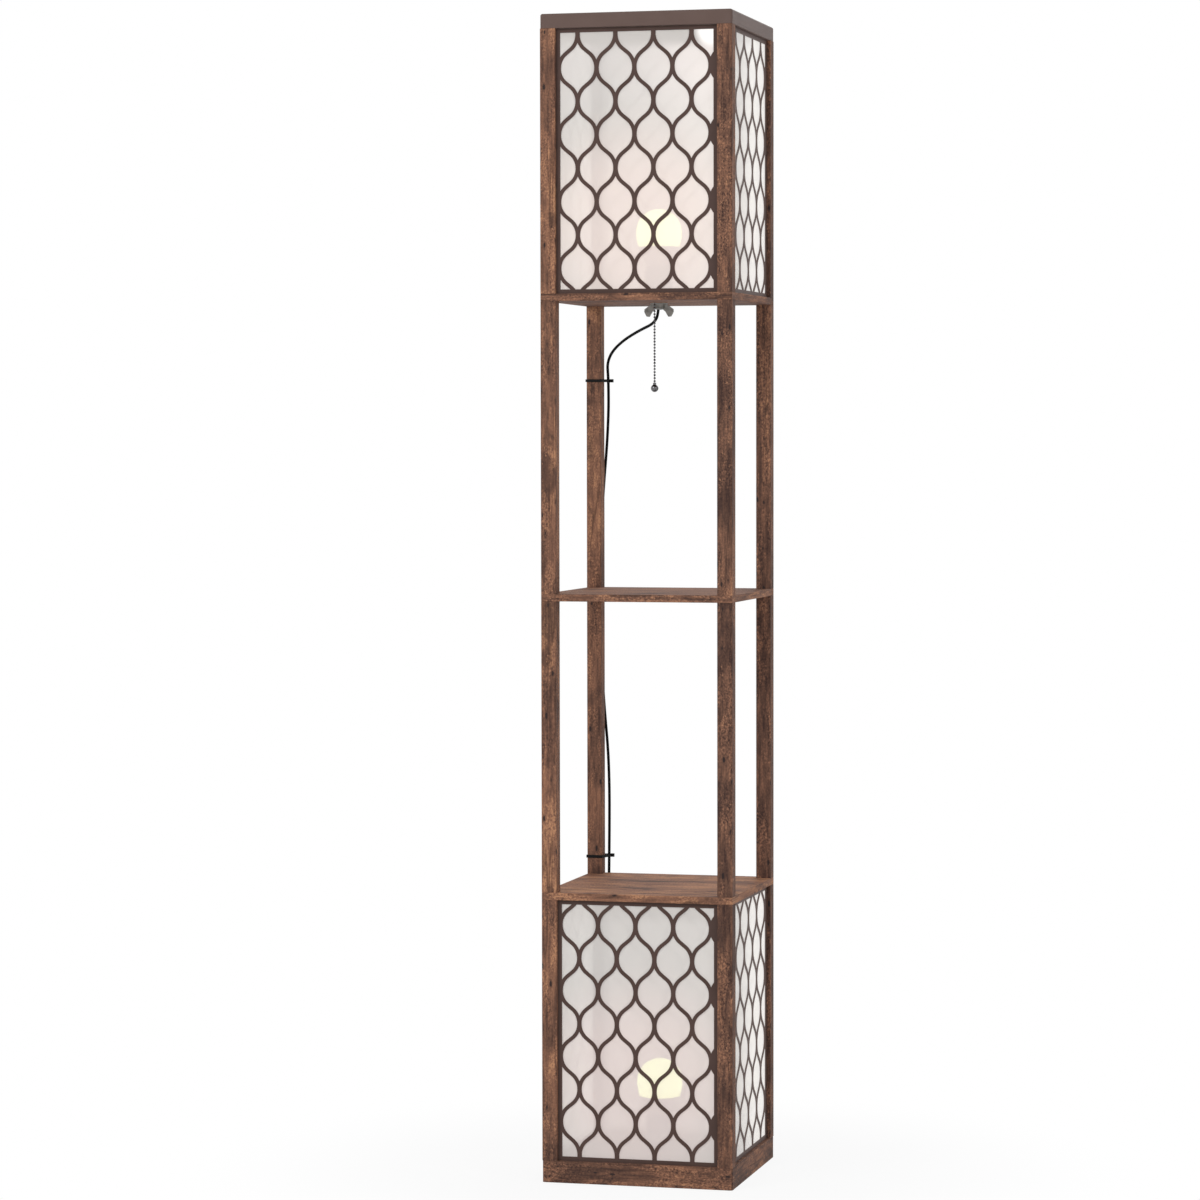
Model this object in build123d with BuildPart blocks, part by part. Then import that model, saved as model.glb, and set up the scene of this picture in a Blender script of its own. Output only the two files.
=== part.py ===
from build123d import *
import os
from math import acos, cos, pi, radians, sin, sqrt, tan

# Shelf floor lamp, in millimetres, +Z up. The origin is on the floor, at the middle of the base.
# Front is -Y, right +X, back +Y and left -X. A lamp box stands on the base, two open shelf bays
# stand on it, and a second lamp box is on top, under a lift-off lid.

os.makedirs("parts", exist_ok=True)

# Tower
footprint = 268.0
base_height = 30.0
lamp_height = 360.0
bay_height = 400.0
board_thickness = 10.0
lid_thickness = 20.0
post_width = 21.0
corner_round = 4.0
post_edge = 1.0
board_edge = 0.6
base_edge = 1.0
lid_edge = 2.8

# Studs from post to post, and bolts up through the base
stud_diameter = 6.0
stud_reach = 12.0
stud_play = 0.05
stud_end_play = 0.5
bolt_head_diameter = 10.0
bolt_head_height = 6.0
bolt_head_recess = 2.0
bolt_head_play = 0.5
bolt_hole_play = 0.2
hex_key = 5.0
hex_key_depth = 3.0

# Pegs that locate the lid
peg_diameter = 8.0
peg_in_lid = 10.0
peg_in_post = 20.0
peg_fit = 0.05
peg_play = 0.3
peg_end_play = 2.0

# Lattice panels and the diffusers behind them
panel_setback = 5.9
lattice_thickness = 1.0
diffuser_thickness = 1.0
groove_depth = 4.0
groove_play = 0.15
panel_play = 0.3
side_border = 5.9
rail = 5.7

# Lattice pattern, seen from outside: line pairs that part and meet again in an ogee
column_pitch = 26.5
row_pitch = 45.3
line_width = 5.1
pair_spacing = 1.0
node_straight = 0.4
slope = radians(51)
first_column = -1.9
first_row = 3.0
least_sliver = 2.0

# Lamp holders on threaded nipples
holder_diameter = 38.0
holder_edge = 1.5
cap_play = 0.5
holder_floor = 10.0
lower_holder_floor = 16.0
nipple_diameter = 9.8
nipple_bore = 6.2
nipple_play = 0.1
nipple_in_holder = 6.0
nipple_below = 9.0
lower_nipple_below = 7.0
nipple_hole_play = 0.2
lock_nut_width = 14.0
lock_nut_height = 5.0

# Bulb: screw cap, flared housing and globe
cap_diameter = 26.0
cap_length = 30.0
contact_radius = 5.0
contact_height = 2.0
cap_shoulder = 6.0
neck_radius = 15.0
housing_height = 28.0
seam_radius = 28.0
globe_radius = 31.5
globe_widest = 19.0
globe_height = 52.0
globe_wall = 1.2

# Wing nut
flange_diameter = 24.0
flange_height = 1.5
hub_diameter = 16.0
hub_height = 7.5
wing_thickness = 3.0
wing_points = [(5, -1), (10.5, -1), (20.5, -8.5), (20.8, -12), (17.5, -18.5), (13.5, -19), (9.5, -12), (5, -8)]
wing_round = 1.2

# Pull switch with its bead chain
chain_reach = 7.0
chain_top = 18.0
bead_diameter = 3.2
bead_pitch = 4.2
bead_count = 33
chain_rod = 0.8
switch_width = 14.0
switch_front = 4.0
switch_root = 3.0
switch_start = 6.0
switch_height = 26.0
switch_wall = 2.0
chain_bore = 4.4
chain_hole = 6.0
ball_diameter = 10.5
ferrule_diameter = 4.5
ferrule_length = 3.4

# Wiring pocket under the base
pocket_front = -30.0
pocket_ledge = 10.0
pocket_side_wall = 30.0
pocket_back_wall = 20.0
pocket_top = 18.0
cover_thickness = 3.0
cover_play = 0.3
cover_screw = 3.0
cover_screw_length = 13.0
cover_screw_head = 6.0
cover_screw_recess = 0.2
screw_play = 0.05
block_length = 48.0
block_depth = 16.0
block_height = 12.0
block_x = -78.0
block_gap = 6.0
terminal_count = 3
terminal_screw = 4.0

# Leads. The route's points are chosen by hand.
cord_diameter = 4.0
lead_x = -96.0
mains_x = -60.0
cord_z = 9.0
lead_hole_play = 0.5
relief_play = 0.1
relief_neck = 7.6
relief_hole_play = 0.2
relief_flange = 11.0
relief_flange_thickness = 2.0
boot_length = 24.0
boot_start = 9.2
boot_end = 5.6
link_points = [
    (0, 0, 1226), (0, 0, 1195.5), (-11, 13, 1182), (-38, 46, 1174.5), (-72, 88, 1162),
    (-97, 118, 1147), (-108.5, 132.5, 1130), (-108, 135.8, 1112), (-107.5, 136, 1090),
    (-108, 138, 1060), (-111, 140.2, 1012), (-115.5, 140.4, 960), (-119, 139.8, 905),
    (-120.5, 140.3, 850), (-121, 139.8, 795), (-120, 140.4, 740), (-118.5, 139.8, 683),
    (-114.5, 139.6, 628), (-109.5, 138.8, 575), (-107.4, 137.4, 522), (-107.2, 136.2, 470),
    (-107.6, 136.2, 428), (-108.5, 138, 388), (-111, 140, 335), (-112.5, 140.3, 278),
    (-111, 140.2, 222), (-107, 141.5, 166), (-102, 145.5, 118), (-98.3, 151.5, 80),
    (-96.4, 158, 52), (-96, 160.5, 30.8), (-96, 153.7, 17.2), (-96, 141.1, 9), (-96, 108, 9),
]
mains_points = [(-60, 108, 9), (-60, 167, 9), (-60, 186, 3.8), (-60, 201, 3.8)]

# Coil of the spare mains lead, behind the base, and the plug
coil_centre = (-30.8, 205.0)
coil_straight = 4.0
coil_z = 3.8
coil_outer = 29.2
coil_step = 2.65
coil_layer = 4.7
coil_layers = 4
coil_halves = 4
tail_points = [(-1.6, 186, 16.3), (12, 172, 13), (34, 168, 11), (52, 168, 11)]
sleeve_length = 14.0
sleeve_start = 3.2
sleeve_end = 5.5
plug_length = 32.0
plug_width = 24.0
plug_round = 3.0
blade_length = 17.0
blade_width = 6.3
blade_thickness = 1.5
blade_spacing = 12.7

# Cable ties: two round the back left post and the lead, one round the coil
tie_heights = [1104.6, 425.0]
tie_cords = [(-107.8, 135.9), (-107.6, 136.2)]
tie_width = 3.8
tie_thickness = 1.2
tie_play = 0.2
tie_cord_play = 0.6
tie_head = (4.8, 5.0, 4.6)
coil_tie_play = 0.3

# Levels and faces that follow from the sizes above
half = footprint / 2
post_centre = half - post_width / 2
inner_face = half - post_width
lower_shelf_z = base_height + lamp_height
lower_bay_z = lower_shelf_z + board_thickness
middle_shelf_z = lower_bay_z + bay_height
upper_bay_z = middle_shelf_z + board_thickness
upper_shelf_z = upper_bay_z + bay_height
upper_lamp_z = upper_shelf_z + board_thickness
lid_z = upper_lamp_z + lamp_height
stud_bore = stud_diameter / 2 + stud_play
chain_y = -(holder_diameter / 2 + chain_reach)
switch_depth = chain_reach + switch_front + switch_root
lattice_out = half - panel_setback
lattice_in = lattice_out - lattice_thickness
diffuser_in = lattice_in - diffuser_thickness
groove_centre = (lattice_out + diffuser_in) / 2
groove_width = lattice_out - diffuser_in + 2 * groove_play
panel_width = 2 * (inner_face + groove_depth - panel_play)
panel_height = lamp_height - panel_play
opening_width = 2 * (inner_face - side_border)
opening_height = panel_height - 2 * rail
corners = {"front_left": (-1, -1), "front_right": (1, -1), "back_left": (-1, 1), "back_right": (1, 1)}
sides = {
    "front": ((0, -1, 0), (1, 0, 0)),
    "right": ((1, 0, 0), (0, 1, 0)),
    "back": ((0, 1, 0), (-1, 0, 0)),
    "left": ((-1, 0, 0), (0, -1, 0)),
}


def facing_down(x, y, z):
    """A place whose own Z points at the floor, for holes made from below."""
    return Location((x, y, z), (180, 0, 0))


def corner_points(height):
    """The middle of each post at one height."""
    return [(x * post_centre, y * post_centre, height) for x, y in corners.values()]


# ---- Posts ----

def make_post(name, column, row, start, height, grooved, top_bore, top_depth):
    x, y = column * post_centre, row * post_centre
    in_groove = inner_face + groove_depth / 2
    with BuildPart() as post:
        with BuildSketch(Plane.XY.offset(start)):
            with Locations((x, y)):
                RectangleRounded(post_width, post_width, post_edge)
        extrude(amount=height)
        with Locations(facing_down(x, y, start)):
            Hole(stud_bore, stud_reach + stud_end_play)
        with Locations((x, y, start + height)):
            Hole(top_bore, top_depth)
        if grooved:
            with BuildSketch(Plane.XY.offset(start)):
                with Locations((column * in_groove, row * groove_centre)):
                    Rectangle(groove_depth, groove_width)
                with Locations((column * groove_centre, row * in_groove)):
                    Rectangle(groove_width, groove_depth)
            extrude(amount=height, mode=Mode.SUBTRACT)
    post.part.label = name
    export_step(post.part, f"parts/{name}.step")


peg_bore = peg_diameter / 2 + peg_play
tiers = {
    "lower_lamp_post": (base_height, lamp_height, True, stud_bore, stud_reach + stud_end_play),
    "lower_bay_post": (lower_bay_z, bay_height, False, stud_bore, stud_reach + stud_end_play),
    "upper_bay_post": (upper_bay_z, bay_height, False, stud_bore, stud_reach + stud_end_play),
    "upper_lamp_post": (upper_lamp_z, lamp_height, True, peg_bore, peg_in_post + peg_end_play),
}
for tier, (start, height, grooved, bore, depth) in tiers.items():
    for corner, (column, row) in corners.items():
        make_post(f"{tier}_{corner}", column, row, start, height, grooved, bore, depth)


# ---- Base slab, its cover and screws ----

pocket_half = half - pocket_side_wall
pocket_back = half - pocket_back_wall
pocket_length = pocket_back - pocket_front
pocket_middle = (pocket_back + pocket_front) / 2
pocket_skin = base_height - pocket_top
rebate_width = 2 * (pocket_half + pocket_ledge)
rebate_length = pocket_length + 2 * pocket_ledge
screw_columns = 2 * pocket_half + pocket_ledge
screw_rows = pocket_length + pocket_ledge
nipple_hole = nipple_diameter / 2 + nipple_hole_play
back_wall = Plane.XZ.offset(-half)

with BuildPart() as base_slab:
    with BuildSketch():
        RectangleRounded(footprint, footprint, corner_round)
    extrude(amount=base_height)
    fillet(base_slab.faces().sort_by(Axis.Z)[-1].edges(), base_edge)
    with BuildSketch():
        with Locations((0, pocket_middle)):
            Rectangle(rebate_width, rebate_length)
    extrude(amount=cover_thickness, mode=Mode.SUBTRACT)
    with BuildSketch():
        with Locations((0, pocket_middle)):
            Rectangle(2 * pocket_half, pocket_length)
    extrude(amount=pocket_top, mode=Mode.SUBTRACT)
    with Locations((0, 0, base_height)):
        Hole(nipple_hole, pocket_skin)
    with Locations(*[facing_down(x, y, 0) for x, y, z in corner_points(0)]):
        CounterBoreHole(
            stud_diameter / 2 + bolt_hole_play,
            bolt_head_diameter / 2 + bolt_head_play,
            bolt_head_height + bolt_head_recess,
            base_height,
        )
    with Locations(facing_down(0, pocket_middle, cover_thickness)):
        with GridLocations(screw_columns, screw_rows, 2, 2):
            Hole(cover_screw / 2 + screw_play, cover_screw_length)
    with BuildSketch(back_wall):
        with Locations((lead_x, cord_z)):
            Circle(cord_diameter / 2 + lead_hole_play)
        with Locations((mains_x, cord_z)):
            Circle(relief_neck / 2 + relief_hole_play)
    extrude(amount=pocket_back_wall, mode=Mode.SUBTRACT)
base_slab.part.label = "base_slab"
export_step(base_slab.part, "parts/base_slab.step")

with BuildPart() as base_cover:
    with BuildSketch():
        with Locations((0, pocket_middle)):
            Rectangle(rebate_width - 2 * cover_play, rebate_length - 2 * cover_play)
    extrude(amount=cover_thickness)
    with Locations(facing_down(0, pocket_middle, 0)):
        with GridLocations(screw_columns, screw_rows, 2, 2):
            CounterSinkHole(
                cover_screw / 2 + screw_play,
                cover_screw_head / 2 + cover_screw_recess + 2 * screw_play,
                cover_thickness,
                90,
            )
base_cover.part.label = "base_cover"
export_step(base_cover.part, "parts/base_cover.step")

with BuildPart() as cover_screws:
    with BuildSketch(Plane.XY.offset(cover_screw_recess)):
        with Locations((0, pocket_middle)):
            with GridLocations(screw_columns, screw_rows, 2, 2):
                Circle(cover_screw / 2)
    extrude(amount=cover_screw_length)
    with BuildSketch(Plane.XY.offset(cover_screw_recess)):
        with Locations((0, pocket_middle)):
            with GridLocations(screw_columns, screw_rows, 2, 2):
                Circle(cover_screw_head / 2)
    extrude(amount=(cover_screw_head - cover_screw) / 2, taper=45)
cover_screws.part.label = "cover_screws"
export_step(cover_screws.part, "parts/cover_screws.step")


# ---- Shelves and lid ----

def make_shelf(name, start, middle_holes):
    with BuildPart() as shelf:
        with BuildSketch(Plane.XY.offset(start)):
            RectangleRounded(footprint, footprint, post_edge)
        extrude(amount=board_thickness)
        fillet(shelf.faces().filter_by(Axis.Z).edges(), board_edge)
        with Locations(*corner_points(start + board_thickness)):
            Hole(stud_bore, board_thickness)
        for y, radius in middle_holes:
            with Locations((0, y, start + board_thickness)):
                Hole(radius, board_thickness)
    shelf.part.label = name
    export_step(shelf.part, f"parts/{name}.step")


make_shelf("lower_shelf", lower_shelf_z, [])
make_shelf("middle_shelf", middle_shelf_z, [])
make_shelf("upper_shelf", upper_shelf_z, [(0, nipple_hole), (chain_y, chain_hole / 2)])

with BuildPart() as lid:
    with BuildSketch(Plane.XY.offset(lid_z)):
        RectangleRounded(footprint, footprint, corner_round)
    extrude(amount=lid_thickness)
    fillet(lid.faces().sort_by(Axis.Z)[-1].edges(), lid_edge)
    fillet(lid.faces().sort_by(Axis.Z)[0].edges(), board_edge)
    with Locations(*[facing_down(x, y, z) for x, y, z in corner_points(lid_z)]):
        Hole(peg_diameter / 2 + peg_fit, peg_in_lid)
lid.part.label = "lid"
export_step(lid.part, "parts/lid.step")

with BuildPart() as lid_pegs:
    with BuildSketch(Plane.XY.offset(lid_z - peg_in_post)):
        with GridLocations(2 * post_centre, 2 * post_centre, 2, 2):
            Circle(peg_diameter / 2)
    extrude(amount=peg_in_post + peg_in_lid)
    chamfer(lid_pegs.faces().filter_by(Axis.Z).group_by(Axis.Z)[0].edges(), 1)
lid_pegs.part.label = "lid_pegs"
export_step(lid_pegs.part, "parts/lid_pegs.step")


# ---- Studs and bolts ----

with BuildPart() as joining_studs:
    for level in (lower_shelf_z, middle_shelf_z, upper_shelf_z):
        with BuildSketch(Plane.XY.offset(level - stud_reach)):
            with GridLocations(2 * post_centre, 2 * post_centre, 2, 2):
                Circle(stud_diameter / 2)
        extrude(amount=board_thickness + 2 * stud_reach)
joining_studs.part.label = "joining_studs"
export_step(joining_studs.part, "parts/joining_studs.step")

with BuildPart() as base_bolts:
    with BuildSketch(Plane.XY.offset(bolt_head_recess)):
        with GridLocations(2 * post_centre, 2 * post_centre, 2, 2):
            Circle(bolt_head_diameter / 2)
    extrude(amount=bolt_head_height)
    with BuildSketch(Plane.XY.offset(bolt_head_recess + bolt_head_height)):
        with GridLocations(2 * post_centre, 2 * post_centre, 2, 2):
            Circle(stud_diameter / 2)
    extrude(amount=base_height + stud_reach - bolt_head_recess - bolt_head_height)
    with BuildSketch(Plane.XY.offset(bolt_head_recess)):
        with GridLocations(2 * post_centre, 2 * post_centre, 2, 2):
            RegularPolygon(hex_key / 2, 6, major_radius=False)
    extrude(amount=hex_key_depth, mode=Mode.SUBTRACT)
base_bolts.part.label = "base_bolts"
export_step(base_bolts.part, "parts/base_bolts.step")


# ---- Lattice panels and diffusers ----

# One gap of the lattice lies between two lines. A line leaves a node straight, bends out over
# the slope, and bends back to run straight again beside the next line.
rise = row_pitch - 2 * node_straight
swing = column_pitch - pair_spacing
bend = (rise * sin(slope) - swing * cos(slope)) / (2 * (1 - cos(slope)))
upper_reach = bend + line_width / 2
side_reach = bend - line_width / 2
tip_angle = acos((pair_spacing / 2 + bend) / upper_reach)
gap_half_width = column_pitch - pair_spacing / 2 - line_width / 2


def upper_bend(angle):
    x = pair_spacing / 2 + bend - upper_reach * cos(angle)
    return x, row_pitch - node_straight - upper_reach * sin(angle)


def side_bend(angle):
    x = column_pitch - pair_spacing / 2 - bend + side_reach * cos(angle)
    return x, node_straight + side_reach * sin(angle)


with BuildSketch() as gap:
    with BuildLine():
        ThreePointArc(upper_bend(tip_angle), upper_bend((tip_angle + slope) / 2), upper_bend(slope))
        Line(upper_bend(slope), side_bend(slope))
        ThreePointArc(side_bend(slope), side_bend(slope / 2), side_bend(0))
        Line(side_bend(0), (gap_half_width, 0))
        mirror(about=Plane.XZ)
        mirror(about=Plane.YZ)
    make_face()


def gap_centres():
    """Every second column is half a step down, so gaps lie where both counts are odd or even."""
    right_limit = opening_width / 2 - least_sliver + gap_half_width
    columns = int((right_limit - first_column + opening_width / 2) / column_pitch) + 1
    rows = int((opening_height - first_row) / row_pitch) + 2
    centres = []
    for column in range(columns):
        for row in range(column % 2, rows, 2):
            x = first_column - opening_width / 2 + column * column_pitch
            centres.append((x, opening_height / 2 - first_row - row * row_pitch))
    return centres


with BuildSketch() as upper_pattern:
    with Locations(*gap_centres()):
        add(gap.sketch)
    Rectangle(opening_width, opening_height, mode=Mode.INTERSECT)

# The lower panels are fitted upside down
with BuildSketch() as lower_pattern:
    mirror(upper_pattern.sketch, about=Plane.XZ)


def side_plane(side, reach, start):
    """A plane on one side of the tower, seen from outside, level with the middle of a panel."""
    normal, along = sides[side]
    return Plane(Vector(*normal) * reach + Vector(0, 0, start + panel_height / 2), along, normal)


def make_lattice(name, side, start, pattern):
    with BuildPart() as lattice:
        with BuildSketch(side_plane(side, lattice_in, start)):
            Rectangle(panel_width, panel_height)
            add(pattern, mode=Mode.SUBTRACT)
        extrude(amount=lattice_thickness)
    lattice.part.label = name
    export_step(lattice.part, f"parts/{name}.step")


def make_diffuser(name, side, start):
    with BuildPart() as diffuser:
        with BuildSketch(side_plane(side, diffuser_in, start)):
            Rectangle(panel_width, panel_height)
        extrude(amount=diffuser_thickness)
    diffuser.part.label = name
    export_step(diffuser.part, f"parts/{name}.step")


for side in sides:
    make_lattice(f"upper_lattice_{side}", side, upper_lamp_z, upper_pattern.sketch)
    make_lattice(f"lower_lattice_{side}", side, base_height, lower_pattern.sketch)
    make_diffuser(f"upper_diffuser_{side}", side, upper_lamp_z)
    make_diffuser(f"lower_diffuser_{side}", side, base_height)


# ---- Lamp holders, nipples and nuts ----

nipple_socket = nipple_diameter / 2 + nipple_play


def make_holder(name, start, floor, with_switch):
    height = floor + cap_length
    with BuildPart() as holder:
        with BuildSketch(Plane.XY.offset(start)):
            Circle(holder_diameter / 2)
        extrude(amount=height)
        fillet(holder.edges().sort_by(Axis.Z)[-1], holder_edge)
        if with_switch:
            with BuildSketch(Plane.XY.offset(start + switch_start)):
                with Locations((0, chain_y + switch_depth / 2 - switch_front)):
                    RectangleRounded(switch_width, switch_depth, switch_wall)
            extrude(amount=switch_height)
        with Locations((0, 0, start + height)):
            Hole(cap_diameter / 2 + cap_play, cap_length)
        with Locations(facing_down(0, 0, start)):
            Hole(nipple_socket, nipple_in_holder)
        if with_switch:
            with Locations(facing_down(0, chain_y, start + switch_start)):
                Hole(chain_bore / 2, switch_height - switch_wall)
    holder.part.label = name
    export_step(holder.part, f"parts/{name}.step")


make_holder("upper_holder", upper_lamp_z, holder_floor, True)
make_holder("lower_holder", base_height, lower_holder_floor, False)

with BuildPart() as holder_nipples:
    with BuildSketch(Plane.XY.offset(upper_lamp_z + nipple_in_holder)):
        Circle(nipple_diameter / 2)
        Circle(nipple_bore / 2, mode=Mode.SUBTRACT)
    extrude(amount=-(nipple_in_holder + board_thickness + nipple_below))
    with BuildSketch(Plane.XY.offset(base_height + nipple_in_holder)):
        Circle(nipple_diameter / 2)
        Circle(nipple_bore / 2, mode=Mode.SUBTRACT)
    extrude(amount=-(nipple_in_holder + pocket_skin + lower_nipple_below))
holder_nipples.part.label = "holder_nipples"
export_step(holder_nipples.part, "parts/holder_nipples.step")

with BuildPart() as lower_lock_nut:
    with BuildSketch(Plane.XY.offset(pocket_top)):
        RegularPolygon(lock_nut_width / 2, 6, major_radius=False)
        Circle(nipple_socket, mode=Mode.SUBTRACT)
    extrude(amount=-lock_nut_height)
lower_lock_nut.part.label = "lower_lock_nut"
export_step(lower_lock_nut.part, "parts/lower_lock_nut.step")

with BuildPart() as upper_wing_nut:
    with BuildSketch(Plane.XY.offset(upper_shelf_z)):
        Circle(flange_diameter / 2)
    extrude(amount=-flange_height)
    with BuildSketch(Plane.XY.offset(upper_shelf_z)):
        Circle(hub_diameter / 2)
    extrude(amount=-hub_height)
    with BuildSketch(Plane.XZ) as wing:
        with BuildLine():
            Polyline([(x, upper_shelf_z + z) for x, z in wing_points], close=True)
        make_face()
        fillet(wing.vertices().group_by(Axis.X)[1:], wing_round)
        mirror(about=Plane.YZ)
    extrude(amount=wing_thickness / 2, both=True)
    with Locations((0, 0, upper_shelf_z)):
        Hole(nipple_socket, hub_height + lid_thickness)
upper_wing_nut.part.label = "upper_wing_nut"
export_step(upper_wing_nut.part, "parts/upper_wing_nut.step")


# ---- Bulbs ----

def make_bulb_base(name, start):
    with BuildPart() as bulb_base:
        with BuildSketch(Plane.XZ):
            with BuildLine():
                Polyline(
                    (neck_radius, start + cap_length),
                    (cap_diameter / 2, start + cap_length),
                    (cap_diameter / 2, start + cap_shoulder),
                    (contact_radius, start + contact_height),
                    (contact_radius, start),
                    (0, start),
                    (0, start + cap_length + housing_height),
                    (seam_radius, start + cap_length + housing_height),
                )
                RadiusArc(
                    (neck_radius, start + cap_length),
                    (seam_radius, start + cap_length + housing_height),
                    -2 * housing_height,
                )
            make_face()
        revolve(axis=Axis.Z)
    bulb_base.part.label = name
    export_step(bulb_base.part, f"parts/{name}.step")


def globe_profile(seam_z, inset):
    """Half of the globe's section: a slow curve up to the widest ring, then a quarter circle."""
    radius = globe_radius - inset
    dome = seam_z + globe_height - globe_radius
    foot = seam_radius - inset
    depth = globe_widest
    lower_radius = (depth ** 2 + (radius - foot) ** 2) / (2 * (radius - foot))
    angle = acos((lower_radius - (radius - foot)) / lower_radius) / 2
    middle = (radius - lower_radius * (1 - cos(angle)), seam_z + depth - lower_radius * sin(angle))
    side = dome + radius * sin(pi / 4)
    with BuildSketch(Plane.XZ) as section:
        with BuildLine():
            ThreePointArc((foot, seam_z), middle, (radius, seam_z + depth))
            Line((radius, seam_z + depth), (radius, dome))
            ThreePointArc((radius, dome), (radius * cos(pi / 4), side), (0, dome + radius))
            Polyline((0, dome + radius), (0, seam_z), (foot, seam_z))
        make_face()
    return section.sketch


def make_globe(name, seam_z):
    with BuildPart() as globe:
        revolve(globe_profile(seam_z, 0), axis=Axis.Z)
        revolve(globe_profile(seam_z, globe_wall), axis=Axis.Z, mode=Mode.SUBTRACT)
    globe.part.label = name
    export_step(globe.part, f"parts/{name}.step")


upper_cap_z = upper_lamp_z + holder_floor
lower_cap_z = base_height + lower_holder_floor
make_bulb_base("upper_bulb_base", upper_cap_z)
make_bulb_base("lower_bulb_base", lower_cap_z)
make_globe("upper_bulb_globe", upper_cap_z + cap_length + housing_height)
make_globe("lower_bulb_globe", lower_cap_z + cap_length + housing_height)


# ---- Pull chain and ball ----

chain_start = upper_lamp_z + chain_top
first_bead = chain_start - bead_pitch / 2
bead_cut = sqrt(bead_diameter ** 2 - chain_rod ** 2) / 2
chain_end = first_bead - (bead_count - 1) * bead_pitch - bead_pitch / 2
chain_axis = Axis((0, chain_y, 0), (0, 0, 1))
chain_plane = Plane.XZ.offset(-chain_y)

with BuildPart() as pull_chain:
    with BuildSketch(chain_plane):
        with BuildLine():
            place = chain_start
            Line((0, place), (chain_rod / 2, place))
            for bead in range(bead_count):
                middle = first_bead - bead * bead_pitch
                Line((chain_rod / 2, place), (chain_rod / 2, middle + bead_cut))
                ThreePointArc(
                    (chain_rod / 2, middle + bead_cut),
                    (bead_diameter / 2, middle),
                    (chain_rod / 2, middle - bead_cut),
                )
                place = middle - bead_cut
            Polyline((chain_rod / 2, place), (chain_rod / 2, chain_end), (0, chain_end), (0, chain_start))
        make_face()
    revolve(axis=chain_axis)
pull_chain.part.label = "pull_chain"
export_step(pull_chain.part, "parts/pull_chain.step")

ball_z = chain_end - ferrule_length - ball_diameter / 2 + 1
with BuildPart() as pull_ball:
    with BuildSketch(chain_plane):
        with BuildLine():
            ThreePointArc((0, ball_z - ball_diameter / 2), (ball_diameter / 2, ball_z), (0, ball_z + ball_diameter / 2))
            Line((0, ball_z + ball_diameter / 2), (0, ball_z - ball_diameter / 2))
        make_face()
    revolve(axis=chain_axis)
    with BuildSketch(Plane.XY.offset(chain_end)):
        with Locations((0, chain_y)):
            Circle(ferrule_diameter / 2)
    extrude(amount=-ferrule_length)
pull_ball.part.label = "pull_ball"
export_step(pull_ball.part, "parts/pull_ball.step")


# ---- Terminal block and strain relief ----

block_back = pocket_back - block_gap
with BuildPart() as terminal_block:
    with BuildSketch(Plane.XY.offset(cover_thickness)):
        with Locations((block_x, block_back - block_depth / 2)):
            RectangleRounded(block_length, block_depth, 1)
    extrude(amount=block_height)
    with Locations((block_x, block_back - block_depth / 2, cover_thickness + block_height)):
        with GridLocations(block_length / terminal_count, 1, terminal_count, 1):
            Hole(terminal_screw / 2, block_height / 3)
terminal_block.part.label = "terminal_block"
export_step(terminal_block.part, "parts/terminal_block.step")

relief_bore = cord_diameter / 2 + relief_play
boot_from = half + relief_flange_thickness
with BuildPart() as strain_relief:
    with BuildSketch(Plane.YZ.offset(mains_x)):
        with BuildLine():
            Polyline(
                (pocket_back - relief_flange_thickness, cord_z + relief_bore),
                (pocket_back - relief_flange_thickness, cord_z + relief_flange / 2),
                (pocket_back, cord_z + relief_flange / 2),
                (pocket_back, cord_z + relief_neck / 2),
                (half, cord_z + relief_neck / 2),
                (half, cord_z + relief_flange / 2),
                (boot_from, cord_z + relief_flange / 2),
                (boot_from, cord_z + boot_start / 2),
                (boot_from + boot_length, cord_z + boot_end / 2),
                (boot_from + boot_length, cord_z + relief_bore),
                close=True,
            )
        make_face()
    revolve(axis=Axis((mains_x, 0, cord_z), (0, 1, 0)))
strain_relief.part.label = "strain_relief"
export_step(strain_relief.part, "parts/strain_relief.step")


# ---- Leads ----

def turn_radii(name, points):
    """The largest radius that each corner's two runs allow."""
    radii = []
    for before, corner, after in zip(points, points[1:], points[2:]):
        arriving = Vector(*corner) - Vector(*before)
        leaving = Vector(*after) - Vector(*corner)
        half_turn = radians(arriving.get_angle(leaving)) / 2
        radii.append(0.45 * min(arriving.length, leaving.length) / tan(half_turn))
    print(name, "radii", [round(radius, 1) for radius in radii])
    return radii


def compare_volume(name, part, length):
    expected = pi * cord_diameter ** 2 / 4 * length
    print(name, "length", round(length, 1), "volume over section x length", round(part.volume / expected, 5))


def make_lead(name, points):
    with BuildPart() as lead:
        with BuildLine() as route:
            FilletPolyline(*points, radius=turn_radii(name, points))
        with BuildSketch(Plane(route.line @ 0, z_dir=route.line % 0)):
            Circle(cord_diameter / 2)
        sweep()
    compare_volume(name, lead.part, route.wire().length)
    lead.part.label = name
    export_step(lead.part, f"parts/{name}.step")


make_lead("link_lead", link_points)
make_lead("mains_lead", mains_points)


# ---- Coil, one tube of half turns: in and out in layers, with a climb at each reversal ----

def coil_corners():
    """The ends of the half turns, which lie in turn on the left and right of the middle."""
    radius, height, inward = coil_outer, coil_z, -1
    rings = [(radius, height)]
    for layer in range(coil_layers):
        for turn in range(coil_halves):
            radius += inward * coil_step
            rings.append((radius, height))
        if layer < coil_layers - 1:
            height += coil_layer
            inward = -inward
            rings.append((radius, height))
    x, y = coil_centre
    return [(x + (radius if k % 2 else -radius), y, z) for k, (radius, z) in enumerate(rings)]


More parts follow.
